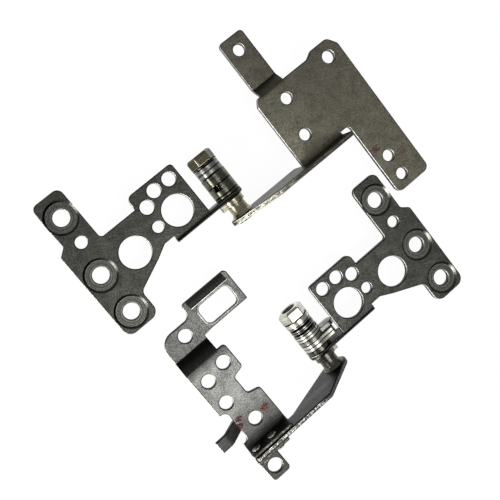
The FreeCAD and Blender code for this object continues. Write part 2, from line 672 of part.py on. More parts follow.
def disc_spring(hand, name, start, steel, dish, flip):
    """A dished disc: the rim starts low and the bore high, or the other way when flipped."""
    p = Piece(hand, name)
    sk = p.flat(0)
    rim = start + dish if flip else start
    bore = start if flip else start + dish
    inner = S("pin_radius") + "bore_gap"
    outline(sk, [
        (inner, bore), (S("spring_radius"), rim), (S("spring_radius"), rim + steel), (inner, bore + steel)])
    p.spin(sk)
    return p


def lock_nut(hand, start, width):
    p = Piece(hand, "lock_nut")
    sk = p.side(start + width)
    half = S("nut_flats") * 0.5
    corner = S("nut_flats") * 0.57735
    outline(sk, [
        (corner, ZERO), (corner * 0.5, half), (corner * -0.5, half), (-corner, ZERO), (corner * -0.5, -half),
        (corner * 0.5, -half)])
    p.pad(sk, width)
    bore = p.side(start)
    ring(bore, 0, 0, (S("pin_radius") + "run_gap") * 2)
    p.cut(bore, width)
    far = (start + width).number

    def rim(edge):
        at_end = all(abs(v.Point.y - far) < 1e-4 for v in edge.Vertexes)
        return at_end and edge.Curve.TypeId == "Part::GeomLine"
    p.dress("Chamfer", rim, "nut_bevel")
    return p


pieces = [lid_plate("left"), lid_plate("right"), left_bracket(), right_bracket(), right_arm(), foot_clip()]
pieces.append(rivet("rivet_1", "rivet_near"))
pieces.append(rivet("rivet_2", "rivet_far"))

# Left stack, laid from the ear to the nut
spot = S("sheet_steel")
pieces.append(washer("left", "bearing_washer", spot, S("left_bearing_width")))
spot = spot + "left_bearing_width"
pieces.append(thrust_sleeve(spot, S("thrust_width")))
spot = spot + "thrust_width" + "run_gap"
pieces.append(washer("left", "friction_sleeve", spot, S("sleeve_width")))
spot = spot + "sleeve_width"
for number in (1, 2):
    pieces.append(disc_spring(
        "left", "disc_spring_%d" % number, spot, S("left_spring_steel"), S("left_spring_dish"),
        number % 2 == 1))
    spot = spot + "left_spring_steel" + "left_spring_dish"
pieces.append(washer("left", "pressure_washer", spot, S("left_pressure_width")))
spot = spot + "left_pressure_width"
pieces.append(lock_nut("left", spot, S("left_nut_width")))
pieces.append(shaft("left", spot + "left_nut_width"))

# Right stack, with the tabbed washers that turn with the lid next to the ear
spot = S("sheet_steel")
pieces.append(washer("right", "bearing_washer", spot, S("bearing_width")))
spot = spot + "bearing_width"
for number in (1, 2):
    pieces.append(tab_washer(
        "right", "tab_washer_%d" % number, spot, S("tab_width"), "tab_reach", "tab_height", "tab_round"))
    spot = spot + "tab_width"
pieces.append(tab_washer(
    "right", "lock_plate", spot, S("plate_width"), "plate_reach", "plate_height", "plate_round"))
spot = spot + "plate_width" + "run_gap"
for number in (1, 2):
    pieces.append(washer("right", "friction_washer_%d" % number, spot, S("friction_width")))
    spot = spot + "friction_width"
for number in (1, 2, 3, 4):
    pieces.append(disc_spring(
        "right", "disc_spring_%d" % number, spot, S("spring_steel"), S("spring_dish"), number % 2 == 0))
    spot = spot + "spring_steel" + "spring_dish"
pieces.append(washer("right", "pressure_washer", spot, S("pressure_width")))
spot = spot + "pressure_width"
pieces.append(lock_nut("right", spot, S("nut_width")))
pieces.append(shaft("right", spot + "nut_width"))

doc.recompute()
for thing in doc.Objects:
    if "Invalid" in thing.State or "Error" in thing.State:
        raise RuntimeError("feature failed: " + thing.Name)

os.makedirs("parts", exist_ok=True)
for p in pieces:
    shape = p.body.Shape
    if shape.isNull() or not shape.isValid() or len(shape.Solids) != 1:
        raise RuntimeError("bad solid: " + p.name)
    shape.exportStep("parts/%s.step" % p.body.Label)
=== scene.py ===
import json
from math import radians

import bpy
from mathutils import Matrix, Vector

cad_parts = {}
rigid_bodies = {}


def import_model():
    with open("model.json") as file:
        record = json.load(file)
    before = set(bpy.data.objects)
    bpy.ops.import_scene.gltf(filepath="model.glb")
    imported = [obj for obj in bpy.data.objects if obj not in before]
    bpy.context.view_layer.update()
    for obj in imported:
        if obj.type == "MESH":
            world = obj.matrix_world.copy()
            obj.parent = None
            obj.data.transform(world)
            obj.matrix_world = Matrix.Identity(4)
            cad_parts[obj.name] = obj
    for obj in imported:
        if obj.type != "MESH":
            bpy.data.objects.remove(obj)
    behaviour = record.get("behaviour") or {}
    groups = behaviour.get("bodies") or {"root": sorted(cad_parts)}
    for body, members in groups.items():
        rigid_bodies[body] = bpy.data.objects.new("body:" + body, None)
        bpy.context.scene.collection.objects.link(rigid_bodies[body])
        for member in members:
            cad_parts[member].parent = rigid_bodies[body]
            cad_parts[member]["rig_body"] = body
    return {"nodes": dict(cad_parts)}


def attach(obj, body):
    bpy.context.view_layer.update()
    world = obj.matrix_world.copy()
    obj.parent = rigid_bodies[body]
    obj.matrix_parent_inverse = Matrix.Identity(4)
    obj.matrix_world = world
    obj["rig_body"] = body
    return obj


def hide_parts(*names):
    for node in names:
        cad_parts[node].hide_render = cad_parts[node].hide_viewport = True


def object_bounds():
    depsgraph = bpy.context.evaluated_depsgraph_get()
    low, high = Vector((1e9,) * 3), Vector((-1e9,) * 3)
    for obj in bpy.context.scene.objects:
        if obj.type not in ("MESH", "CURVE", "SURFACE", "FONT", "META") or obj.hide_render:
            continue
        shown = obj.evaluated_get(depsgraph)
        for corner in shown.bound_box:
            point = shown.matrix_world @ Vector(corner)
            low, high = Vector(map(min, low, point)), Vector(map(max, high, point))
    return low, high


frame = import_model()
CAD_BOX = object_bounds()
MM = 0.001
WHITE = (1, 1, 1, 1)

# Camera, in millimetres and degrees of the shared frame
CAMERA_PLACE = (-26.39, 23.15, 141.88)
CAMERA_TURN = (-1.27, -12.37, -39.35)
CAMERA_LENS = 50.09
CAMERA_SENSOR = 36.0
CAMERA_NEAR = 10

# Studio, in millimetres and watts
FLOOR_SIZE = 4000
FLOOR_GAP = 0.01
FLOOR_GLOW = 0.9
PAPER_FIBRE = 30
PAPER_DARK = (0.80, 0.80, 0.80, 1)
PAPER_LIGHT = (0.84, 0.84, 0.84, 1)
PAPER_ROUGH = 0.9
PAPER_WHITE = 1.06
WORLD_LEVEL = 0.30
LAMPS = {
    # name: place, aim, width and height of the panel, power
    "side_panel": ((-320, -60, 130), (0, 0, 5), (320, 120), 1.0),
    "top_panel": ((10, -110, 400), (0, 0, 5), (180, 180), 0.52),
}

# Sheet metal, in millimetres: the range of its thickness, its rounding, heights and scratches
SHEET_THIN = 0.7
SHEET_THICK = 1.3
EDGE_ROUND = 0.2
# Painted shade on bends is lightest at this height and deepest this far from it
BEND_LEVEL = 7.95
BEND_DEPTH = 1.7
DIMPLE_FLOOR = 5.55
LIP_TOP = 7.6
HAIRLINE = 0.10

# Dimples of the lids, in millimetres: their middles, and the radius of their hole and groove
DIMPLES = [(-30.9, 7.6), (-30.9, 16.7), (-29.6, 29.8), (22.0, -7.2), (23.3, -29.4), (23.3, -20.3)]
DIMPLE_HOLE = 1.65
DIMPLE_GROOVE = 2.35

# Where painted shade darkens the right bracket, where it is darker on its tab and hook, and where
# the arms' edges turn smooth, in millimetres
FLANGE_SHADE = (-27.0, -20.0)
STEP_SHADE = (-10.9, -8.7)
TAB_DARK = (-6.4, -6.0)
HOOK_DARK = (-32.6, -31.0)
SAW_MARKS_END = (-15.0, -12.5)
EYE_END = (6.0, 10.0)

# Directions and axes of the shared frame
Y, Z = 1, 2
UP = (0, 0, 1)
FRONT = (0, -1, 0)
BACK = (0, 1, 0)
LIT_SIDE = (-0.87, -0.5, 0)
# Side of the painted highlight on rounded edges
HIGHLIGHT_SIDE = (-0.96, -0.28, 0)

# Mesh work, in millimetres and degrees
MERGE_GAP = 0.002
FLAT_ANGLE = 0.5
SHADING_ANGLE = 30
ROUNDING_ANGLE = 50
ROUNDING_STEPS = 3
BEND_STEP = 0.005
LEVEL_REACH = 0.1

# How much of a face's normal lies along an axis, for a face that looks up, down or sideways
LOOKS_UP = 0.9
LOOKS_DOWN = -0.5
LOOKS_SIDEWAYS = 0.1

# Places of a sheet's finishes in its list, which ends with the rounded edge
PLAIN, CUT, FLAT = 0, 1, 2

# Red paint left by the inspector, in millimetres and in parts of a dab's width
DAB_HEIGHT = 7.9
DAB_THICK = 0.02
DAB_CORNERS = 36
DAB_RIM = 0.12
DAB_RAGGED = 0.05

# Pressed rim round the slot of the right bracket, in millimetres
SLOT_MIDDLE = (-17.15, -2.4)
SLOT_SIDES = (7.7, 4.4)
SLOT_ROUND = 1.2
SLOT_STEPS = 8
TAB_TOP = 5.4
RIM_WIDTH = 0.45
RIM_HEIGHT = 0.25
RIM_ROUND = 0.2


def select_only(piece):
    """Leave one object selected and active."""
    bpy.ops.object.select_all(action="DESELECT")
    piece.select_set(True)
    bpy.context.view_layer.objects.active = piece


def screen(red, green, blue):
    """A colour from its three screen levels out of 255."""
    def linear(level):
        part = level / 255
        return part / 12.92 if part <= 0.04045 else ((part + 0.055) / 1.055) ** 2.4
    return (linear(red), linear(green), linear(blue), 1.0)


# Shader sums

class Tone:
    """A socket that can stand in Python sums. Each operator adds its Math node."""

    def __init__(self, finish, socket):
        self.finish = finish
        self.socket = socket

    def __add__(self, other):
        return self.finish.math("ADD", self, other)

    def __radd__(self, other):
        return self.finish.math("ADD", other, self)

    def __sub__(self, other):
        return self.finish.math("SUBTRACT", self, other)

    def __rsub__(self, other):
        return self.finish.math("SUBTRACT", other, self)

    def __mul__(self, other):
        return self.finish.math("MULTIPLY", self, other)

    def __rmul__(self, other):
        return self.finish.math("MULTIPLY", other, self)


class Finish:
    """A procedural material, laid on the piece's own coordinates in metres."""

    def __init__(self, name, metallic=1.0):
        self.material = bpy.data.materials.new(name)
        self.material.use_nodes = True
        self.tree = self.material.node_tree
        self.shader = self.tree.nodes["Principled BSDF"]
        self.shader.inputs["Metallic"].default_value = metallic
        self.place = self.node("TexCoord", {}, {}, "Object")

    def feed(self, socket, value):
        """Link a tone to a socket, or set a plain value there."""
        if isinstance(value, Tone):
            self.tree.links.new(value.socket, socket)
        else:
            socket.default_value = value

    def node(self, kind, settings, sockets, output=0):
        """Add any node: its settings first, then the values or links of its sockets."""
        made = self.tree.nodes.new("ShaderNode" + kind)
        for name, value in settings.items():
            setattr(made, name, value)
        for name, value in sockets.items():
            self.feed(made.inputs[name], value)
        return Tone(self, made.outputs[output])

    def math(self, operation, first, second=0.0):
        """Add a node that works on one or two values."""
        return self.node("Math", {"operation": operation}, {0: first, 1: second})

    def vector(self, operation, first, second, output="Value"):
        """Add a node that works on two vectors."""
        return self.node("VectorMath", {"operation": operation}, {0: first, 1: second}, output)

    def noise(self, size, detail=2.0, rough=0.5, stretch=(1, 1, 1), turn=0.0):
        """Noise with patches of about a size in millimetres, stretched and then turned about Z."""
        spread = tuple(1 / (size * MM * part) for part in stretch)
        turned = self.node(
            "Mapping", {}, {"Vector": self.place, "Rotation": (0, 0, radians(turn))})
        laid = self.node("Mapping", {}, {"Vector": turned, "Scale": spread})
        sockets = {"Vector": laid, "Scale": 1.0, "Detail": detail, "Roughness": rough}
        return self.node("TexNoise", {}, sockets)

    def clip(self, value, low, high, to_low=0.0, to_high=1.0):
        """Stretch a value between two levels and keep it between two others."""
        return self.node("MapRange", {"clamp": True}, {
            "Value": value, "From Min": low, "From Max": high, "To Min": to_low, "To Max": to_high})

    def along(self, axis):
        """The place along X, Y or Z in millimetres."""
        return self.node("SeparateXYZ", {}, {"Vector": self.place}, axis) * (1 / MM)

    def from_dimple(self):
        """The distance to the nearest dimple's middle, in millimetres."""
        flat = self.vector("MULTIPLY", self.place, (1 / MM, 1 / MM, 0), "Vector")
        nearest, *others = [self.vector("DISTANCE", flat, (x, y, 0)) for x, y in DIMPLES]
        for other in others:
            nearest = self.math("MINIMUM", other, nearest)
        return nearest

    def facing(self, direction):
        """How far a face is turned towards a direction of the piece, from -1 to 1."""
        normal = self.node("TexCoord", {}, {}, "Normal")
        return self.vector("DOT_PRODUCT", normal, direction)

    def blend(self, share, first, second):
        """Mix two colours, by the numbers of the node's colour sockets."""
        return self.node("Mix", {"data_type": "RGBA"}, {0: share, 6: first, 7: second}, 2)

    def surface(self, colour, roughness, height=None, depth=0.0):
        """Feed the shader, with a height in parts of a depth in millimetres."""
        self.feed(self.shader.inputs["Base Color"], colour)
        self.feed(self.shader.inputs["Roughness"], roughness)
        if height is not None:
            sockets = {"Height": height, "Distance": depth * MM, "Strength": 1.0}
            self.feed(self.shader.inputs["Normal"], self.node("Bump", {}, sockets))
        return self.material


# Finishes, with the sizes of their patches in millimetres

SCORED_STEEL = screen(190, 188, 178)
# Colour of the painted highlight on slopes turned to the side lamp
LIT_STEEL = screen(196, 196, 187)
GROOVE_GRIME = screen(40, 40, 37)
HOLE_RIM = screen(120, 120, 113)
# Colour of the painted highlight on rounded edges
HIGHLIGHT_STEEL = screen(226, 226, 218)


def sheet_finish(
        name, dark, light, shadow_colour, patch, grain, sheen, lit=0.0, shade=None, shaded_side=BACK):
    """Plated sheet steel: cloudy patches, a fine speckle, hairlines, painted shade on bends and
    painted highlights on slopes.

    A sheet with painted highlights on its slopes has painted shade on its upright sides too.
    """
    finish = Finish(name)
    patches = finish.clip(finish.noise(patch, detail=4.0, rough=0.6), 0.32, 0.68)
    speckle = finish.clip(finish.noise(grain, detail=3.0, rough=0.75), 0.38, 0.62)
    long_lines = finish.noise(HAIRLINE, detail=1.0, stretch=(60, 1, 1), turn=27)
    cross_lines = finish.noise(HAIRLINE, detail=1.0, stretch=(40, 1, 1), turn=-52)
    hairlines = finish.math(
        "MAXIMUM", finish.clip(long_lines, 0.66, 0.74), finish.clip(cross_lines, 0.68, 0.76))
    share = 0.35 * patches + 0.65 * speckle
    if shade is not None:
        share = share * shade(finish)
    plated = finish.blend(share, dark, light)
    scored = finish.blend(0.22 * hairlines, plated, SCORED_STEEL)
    upward = finish.facing(UP)
    # Painted highlight: slopes turned to the side lamp are lightened towards lit steel
    slope = finish.clip(finish.facing(LIT_SIDE), 0.35, 0.66) * finish.clip(upward, 0.3, 0.5)
    highlighted = finish.blend(lit * slope, scored, LIT_STEEL)
    upright = finish.clip(upward, 0.1, 0.3, lit, 0.0)
    # Painted shade: faces turned to the shaded side, and the upright sides of a sheet with painted
    # highlights, take the dark colour, deeper away from the bend height
    shade_mask = finish.math("MAXIMUM", finish.clip(finish.facing(shaded_side), 0.0, 0.3), upright)
    depth = finish.math("ABSOLUTE", finish.along("Z") - BEND_LEVEL)
    colour = finish.blend(shade_mask * finish.clip(depth, 0.0, BEND_DEPTH, 0.3, 0.95), highlighted, shadow_colour)
    height = 0.7 * speckle + 0.3 * patches - 0.2 * hairlines
    return finish.surface(colour, sheen - 0.12 * share, height, depth=0.014)


def dimple_finish(name, dark, light):
    """The floor of a dimple: rings left by the press, a dark groove and a paler rim at its hole."""
    finish = Finish(name)
    off = finish.from_dimple()
    wave = finish.math("SINE", off * 13.0 + 2.0 * finish.noise(1.2))
    speckle = finish.clip(finish.noise(0.25, detail=3.0, rough=0.7), 0.36, 0.64)
    rings = finish.clip(wave, 0.2, 0.95)
    steel = finish.blend(0.7 * speckle + 0.3 * rings, dark, light)
    from_groove = finish.math("ABSOLUTE", off - DIMPLE_GROOVE)
    groove = finish.clip(from_groove, 0.05, 0.16, 1.0, 0.0)
    scored = finish.blend(0.5 * groove, steel, GROOVE_GRIME)
    rim = finish.clip(off, DIMPLE_HOLE + 0.2, DIMPLE_HOLE + 0.4, 1.0, 0.0)
    colour = finish.blend(0.2 * rim, scored, HOLE_RIM)
    return finish.surface(colour, 0.42 - 0.1 * rings, 0.4 * rings + 0.6 * speckle, depth=0.014)


def cut_finish(name, dark, light, shadow_colour, torn, size, run=2.2, shade=None):
    """A sheared edge: torn bright specks over darker steel, with painted shade where it stands
    upright.
    """
    finish = Finish(name)
    specks = finish.noise(size, detail=3.0, rough=0.7, stretch=(run, 1, 1))
    tears = finish.clip(specks, 0.5 - torn, 0.5 + torn)
    lines = finish.clip(finish.noise(0.3, rough=0.6, stretch=(8, 0.5, 0.5)), 0.4, 0.6)
    share = 0.75 * tears + 0.25 * lines
    if shade is not None:
        share = share * shade(finish)
    steel = finish.blend(share, dark, light)
    # Painted shade on the upright sides of the sheet
    upright = finish.clip(finish.facing(UP), 0.4, 0.7, 1.0, 0.0)
    colour = finish.blend(0.9 * upright, steel, shadow_colour)
    return finish.surface(colour, 0.48 - 0.18 * tears, 0.6 * tears + 0.4 * lines, depth=0.03)


def edge_finish(name, dark, light):
    """The broken edge of a sheet: dark, with a painted highlight where it is turned up and to the
    side lamp.
    """
    finish = Finish(name)
    breaks = finish.clip(finish.noise(1.4, detail=3.0, rough=0.65), 0.3, 0.6, 0.75, 1.0)
    specks = finish.clip(finish.noise(0.3, rough=0.6), 0.35, 0.65)
    # Painted highlight where the rounded edge is turned up and to the side lamp
    highlighted = finish.clip(finish.facing(HIGHLIGHT_SIDE), 0.2, 0.5)
    upper = finish.clip(finish.facing(UP), 0.15, 0.4)
    edge_steel = finish.blend(specks, dark, light)
    colour = finish.blend(highlighted * upper * breaks, edge_steel, HIGHLIGHT_STEEL)
    return finish.surface(colour, 0.5 - 0.1 * specks, specks, depth=0.01)


def turned_finish(name, dark, light, stained, sheen):
    """Turned steel: fine rings round the shaft's own direction and oily stains."""
    finish = Finish(name)
    turning = finish.noise(0.5, detail=3.0, rough=0.6, stretch=(6, 0.25, 6))
    rings = finish.clip(turning, 0.35, 0.65)
    stains = finish.clip(finish.noise(2.4, detail=3.0, rough=0.6), 0.5, 0.72)
    colour = finish.blend(0.3 * stains, finish.blend(rings, dark, light), stained)
    return finish.surface(colour, sheen + 0.12 * stains, rings, depth=0.004)


def paint_finish(name, dark, light, cover):
    """A thin dab of paint, worn through in specks."""
    finish = Finish(name, metallic=0.0)
    wear = finish.clip(finish.noise(0.3, detail=3.0, rough=0.6), 0.35, 0.6)
    patches = finish.clip(finish.noise(0.45, detail=3.0, rough=0.7), 0.36, 0.56, 0.15, 1.0)
    finish.feed(finish.shader.inputs["Alpha"], cover * patches)
    return finish.surface(finish.blend(wear, dark, light), 0.55 - 0.1 * wear, wear, depth=0.02)


def towards_bends(finish):
    """Painted shade on the right bracket by its flange and down its step; its lower tab and its
    hook are darker too.
    """
    across = finish.along("Y")
    flange = finish.clip(across, *FLANGE_SHADE, 0.25, 1.0)
    step = finish.clip(across, *STEP_SHADE, 1.0, 0.15)
    tab = finish.clip(across, *TAB_DARK, 0.0, 0.45)
    hook = finish.clip(finish.along("X"), *HOOK_DARK, 0.3, 1.0)
    return flange * (step + tab) * hook


def saw_marks(finish):
    """The right arm's edge is only torn on its straight run."""
    return finish.clip(finish.along("X"), *SAW_MARKS_END, 1.0, 0.2)


def near_eye(finish):
    """The left arm's edge is only torn by its eye."""
    return finish.clip(finish.along("X"), *EYE_END, 1.0, 0.3)


# The third colour of each sheet is its painted shade; the lid's slopes also take a painted
# highlight
LID = sheet_finish(
    "lid_sheet", screen(44, 45, 41), screen(86, 87, 81), screen(20, 20, 18),
    patch=1.8, grain=0.22, sheen=0.46, lit=0.8, shaded_side=FRONT)
LEFT = sheet_finish(
    "left_sheet", screen(78, 75, 65), screen(130, 127, 113), screen(40, 38, 31),
    patch=2.4, grain=0.26, sheen=0.48)
# The right bracket takes painted shade by its flange and step
RIGHT = sheet_finish(
    "right_sheet", screen(62, 62, 59), screen(160, 160, 156), screen(24, 24, 23),
    patch=2.2, grain=0.24, sheen=0.46, shade=towards_bends)
ARM = sheet_finish(
    "arm_sheet", screen(54, 54, 53), screen(94, 94, 93), screen(40, 40, 42),
    patch=1.6, grain=0.28, sheen=0.44)
DIMPLE = dimple_finish("dimple_floor", screen(60, 61, 57), screen(114, 115, 109))
# The third colour of each cut edge is the painted shade of its upright sides
LID_CUT = cut_finish(
    "lid_edge", screen(50, 50, 46), screen(104, 104, 97), screen(8, 8, 7), torn=0.14, size=0.3)
LEFT_CUT = cut_finish(
    "left_edge", screen(60, 58, 50), screen(160, 156, 142), screen(38, 36, 30),
    torn=0.08, size=0.5, run=6.0, shade=near_eye)
RIGHT_CUT = cut_finish(
    "right_edge", screen(46, 46, 42), screen(120, 119, 110), screen(26, 26, 25),
    torn=0.12, size=0.32)
ARM_CUT = cut_finish(
    "arm_edge", screen(40, 40, 38), screen(206, 205, 196), screen(46, 46, 46),
    torn=0.05, size=0.24, run=1.6, shade=saw_marks)
# Rounded edges: dark, with a painted highlight on the side lamp's side
HIGHLIGHTED_EDGE = edge_finish("highlighted_edge", screen(24, 24, 22), screen(52, 52, 48))
# Painted highlight on the right bracket's lip top, the rivets' rounded rims and the slot rim's
# rounded edge
BRIGHT = turned_finish(
    "bright_highlight", screen(150, 150, 144), screen(214, 214, 206), screen(96, 96, 90), sheen=0.35)
NICKEL = turned_finish(
    "nickel", screen(150, 149, 136), screen(238, 237, 226), screen(88, 86, 72), sheen=0.3)
GUNMETAL = turned_finish(
    "gunmetal", screen(52, 52, 44), screen(120, 120, 106), screen(30, 29, 24), sheen=0.2)
OLIVE = turned_finish(
    "olive_plating", screen(56, 54, 42), screen(92, 89, 72), screen(40, 38, 28), sheen=0.26)
CREAM = turned_finish(
    "cream_steel", screen(120, 115, 97), screen(176, 170, 150), screen(96, 91, 74), sheen=0.24)
STEEL = turned_finish(
    "turned_steel", screen(74, 73, 67), screen(112, 110, 103), screen(50, 48, 42), sheen=0.22)
SPRING = turned_finish(
    "spring_steel", screen(70, 70, 69), screen(172, 172, 167), screen(30, 30, 28), sheen=0.28)
# Painted shade: near-black rounded corners stand for the shade in the gaps between stacked parts
GAP_SHADE = turned_finish(
    "gap_shade", screen(14, 14, 13), screen(30, 30, 27), screen(8, 8, 7), sheen=0.4)
PAINT = paint_finish("inspection_paint", screen(92, 40, 37), screen(140, 78, 71), cover=0.85)
BROWNED = paint_finish("browned_paint", screen(70, 28, 25), screen(104, 58, 50), cover=0.8)
RUBBED = paint_finish("rubbed_paint", screen(112, 66, 60), screen(128, 90, 80), cover=0.24)

# Each sheet's finish, its cut edge, the finish and height of its odd flat, its slot and its nodes
SHEETS = [
    (LID, LID_CUT, DIMPLE, DIMPLE_FLOOR, "lid_sheet", ["left_lid_plate", "right_lid_plate"]),
    (LEFT, LEFT_CUT, LEFT, DIMPLE_FLOOR, "left_sheet", ["left_base_bracket"]),
    # The right bracket's lip top is a painted highlight
    (RIGHT, RIGHT_CUT, BRIGHT, LIP_TOP, "right_sheet", ["right_base_bracket", "right_foot_clip"]),
    (ARM, ARM_CUT, ARM, DIMPLE_FLOOR, "arm_sheet", ["right_hinge_arm"]),
]

# Each turned finish, that of its corners, its slot, its rounding in millimetres and its nodes
TURNED = [
    (CREAM, GAP_SHADE, "turned_steel", 0.09, ["left_shaft"]),
    (STEEL, GAP_SHADE, "turned_steel", 0.09, ["right_shaft"]),
    # The rivets' rounded rims are a painted highlight
    (STEEL, BRIGHT, "turned_steel", 0.14, ["right_rivet_1", "right_rivet_2"]),
    (SPRING, GAP_SHADE, "spring_steel", 0.10, [
        "left_disc_spring_1", "left_disc_spring_2", "right_disc_spring_1", "right_disc_spring_2",
        "right_disc_spring_3", "right_disc_spring_4", "right_lock_plate"]),
    (GUNMETAL, GAP_SHADE, "nickel", 0.14, [
        "left_bearing_washer", "left_thrust_sleeve", "left_friction_sleeve", "left_pressure_washer",
        "right_bearing_washer"]),
    # The left nut's rounded corners in cream steel are a painted highlight along its edges
    (OLIVE, CREAM, "nickel", 0.24, ["left_lock_nut"]),
    (NICKEL, GAP_SHADE, "nickel", 0.10, [
        "right_tab_washer_1", "right_tab_washer_2", "right_friction_washer_1",
        "right_friction_washer_2", "right_pressure_washer"]),
    (NICKEL, STEEL, "nickel", 0.14, ["right_lock_nut"]),
]

# Each dab of paint: its finish, middle, length and width in millimetres, and turn in degrees
DABS = [
    (PAINT, (-23.2, -23.9), 2.1, 1.3, 70),
    (PAINT, (-28.4, -22.2), 1.7, 1.1, 20),
    (PAINT, (-29.4, -23.5), 1.9, 1.1, 60),
    (BROWNED, (28.0, 1.4), 2.0, 1.4, 40),
    (RUBBED, (32.3, -2.3), 3.4, 1.7, 0),
]


# Pieces

def merged_copy(node):
    """A copy of a node with its loose triangles joined into flat faces."""
    piece = bpy.data.objects.new(node + "_dressed", frame["nodes"][node].data.copy())
    bpy.context.scene.collection.objects.link(piece)
    piece.data.materials.clear()
    select_only(piece)
    bpy.ops.object.mode_set(mode="EDIT")
    bpy.ops.mesh.select_all(action="SELECT")
    bpy.ops.mesh.remove_doubles(threshold=MERGE_GAP * MM)
    bpy.ops.mesh.dissolve_limited(angle_limit=radians(FLAT_ANGLE))
    bpy.ops.object.mode_set(mode="OBJECT")
    return piece


def is_cut(mesh, face):
    """Whether a face is as narrow as the sheet is thick, so that it is an edge of the sheet."""
    corners = [mesh.vertices[index].co for index in face.vertices]

    def levels(axis):
        return sorted({round(corner[axis] / MM, 2) for corner in corners})

    def thick(axis):
        return SHEET_THIN < levels(axis)[-1] - levels(axis)[0] < SHEET_THICK
    lying = abs(face.normal.z) < LOOKS_SIDEWAYS and thick(Z)
    standing = abs(face.normal.y) < LOOKS_SIDEWAYS and thick(Y) and len(levels(Y)) == 2
    return lying or standing


def inner_corners(mesh):
    """The selected edges where two faces meet in an inner corner."""
    borders = {}
    for face in mesh.polygons:
        ring = list(face.vertices)
        for start, end in zip(ring, ring[1:] + ring[:1]):
            along = mesh.vertices[end].co - mesh.vertices[start].co
            borders.setdefault(tuple(sorted((start, end))), []).append((face.normal, along))

    def is_inner(edge):
        (first, _), (second, along) = borders[edge.key]
        return second.cross(along).dot(first) > 0
    return [edge for edge in mesh.edges if edge.select and is_inner(edge)]


def left_sharp(mesh):
    """The selected edges of a sheet's underside and of its bends' sides, with what joins those."""
    def reach(edge):
        start, end = (mesh.vertices[index].co for index in edge.vertices)
        return start - end

    def is_bent(edge):
        return min(abs(reach(edge).y), abs(reach(edge).z)) > BEND_STEP * MM
    low_faces = [face for face in mesh.polygons if face.normal.z < LOOKS_DOWN]
    under = {key for face in low_faces for key in face.edge_keys}
    chosen = [edge for edge in mesh.edges if edge.select]
    sides = [edge for edge in chosen if is_bent(edge)]
    ends = {index for edge in sides for index in edge.vertices}
    short = [edge for edge in chosen if reach(edge).length < SHEET_THICK * MM]
    joined = [edge for edge in short if not ends.isdisjoint(edge.vertices)]
    return sides + joined + [edge for edge in chosen if edge.key in under]


def break_edges(piece, width, sheet=False):
    """Round the sharp outer edges, with the rounded strip in the last finish."""
    select_only(piece)
    bpy.ops.object.shade_smooth()
    bpy.ops.object.mode_set(mode="EDIT")
    bpy.ops.mesh.select_mode(type="EDGE")
    bpy.ops.mesh.select_all(action="DESELECT")
    bpy.ops.mesh.edges_select_sharp(sharpness=radians(SHADING_ANGLE))
    bpy.ops.mesh.mark_sharp()
    bpy.ops.mesh.select_all(action="DESELECT")
    bpy.ops.mesh.edges_select_sharp(sharpness=radians(ROUNDING_ANGLE))
    bpy.ops.object.mode_set(mode="OBJECT")
    sharp = inner_corners(piece.data) + (left_sharp(piece.data) if sheet else [])
    for part in list(piece.data.polygons) + sharp:
        part.select = False
    bpy.ops.object.mode_set(mode="EDIT")
    bpy.ops.transform.edge_bevelweight(value=1.0)
    bpy.ops.object.mode_set(mode="OBJECT")
    bevel = piece.modifiers.new("broken_edges", "BEVEL")
    bevel.width = width * MM
    bevel.segments = ROUNDING_STEPS
    bevel.limit_method = "WEIGHT"
    bevel.harden_normals = True
    bevel.loop_slide = False
    bevel.use_clamp_overlap = False
    bevel.material = len(piece.data.materials) - 1
    bpy.ops.object.modifier_apply(modifier=bevel.name)


def stand_in(piece, node):
    """Let a dressed piece take its node's place and body."""
    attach(piece, frame["nodes"][node]["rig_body"])
    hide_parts(node)


def sheet_piece(node, finish, cut, flat, height):
    """Dress a sheet: its cut edges, its rounded edges and its odd flat at a height."""
    piece = merged_copy(node)
    for material in (finish, cut, flat, HIGHLIGHTED_EDGE):
        piece.data.materials.append(material)
    for face in piece.data.polygons:
        face.material_index = CUT if is_cut(piece.data, face) else PLAIN
    break_edges(piece, EDGE_ROUND, sheet=True)
    for face in piece.data.polygons:
        at_height = abs(face.center.z - height * MM) < LEVEL_REACH * MM
        if face.normal.z > LOOKS_UP and at_height:
            face.material_index = FLAT
    stand_in(piece, node)


def turned_piece(node, finish, corner, width):
    """Dress a turned or stamped piece, with its rounded corners in a finish of their own."""
    piece = merged_copy(node)
    for material in (finish, corner):
        piece.data.materials.append(material)
    break_edges(piece, width)
    stand_in(piece, node)


def paint_dab(number, finish, middle, length, width, turn):
    """A thin ragged patch of paint on a bracket's top."""
    bpy.ops.object.select_all(action="DESELECT")
    place = (middle[0] * MM, middle[1] * MM, DAB_HEIGHT * MM)
    bpy.ops.mesh.primitive_circle_add(
        vertices=DAB_CORNERS, radius=length / 2 * MM, fill_type="NGON", location=place,
        rotation=(0, 0, radians(turn)))
    dab = bpy.context.object
    dab.name = "paint_dab_%d" % number
    bpy.ops.object.transform_apply(location=True, rotation=True, scale=True)
    bpy.ops.object.mode_set(mode="EDIT")
    bpy.ops.mesh.select_all(action="SELECT")
    bpy.ops.transform.resize(
        value=(1, width / length, 1), orient_type="GLOBAL", center_override=place)
    bpy.ops.mesh.inset(thickness=DAB_RIM * width * MM, depth=0)
    bpy.ops.mesh.select_all(action="SELECT")
    bpy.ops.transform.vertex_random(
        offset=DAB_RAGGED * width * MM, uniform=1.0, normal=0.0, seed=number)
    bpy.ops.mesh.extrude_region_move(TRANSFORM_OT_translate={"value": (0, 0, DAB_THICK * MM)})
    bpy.ops.object.mode_set(mode="OBJECT")
    dab.data.materials.append(finish)
    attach(dab, "base_brackets")


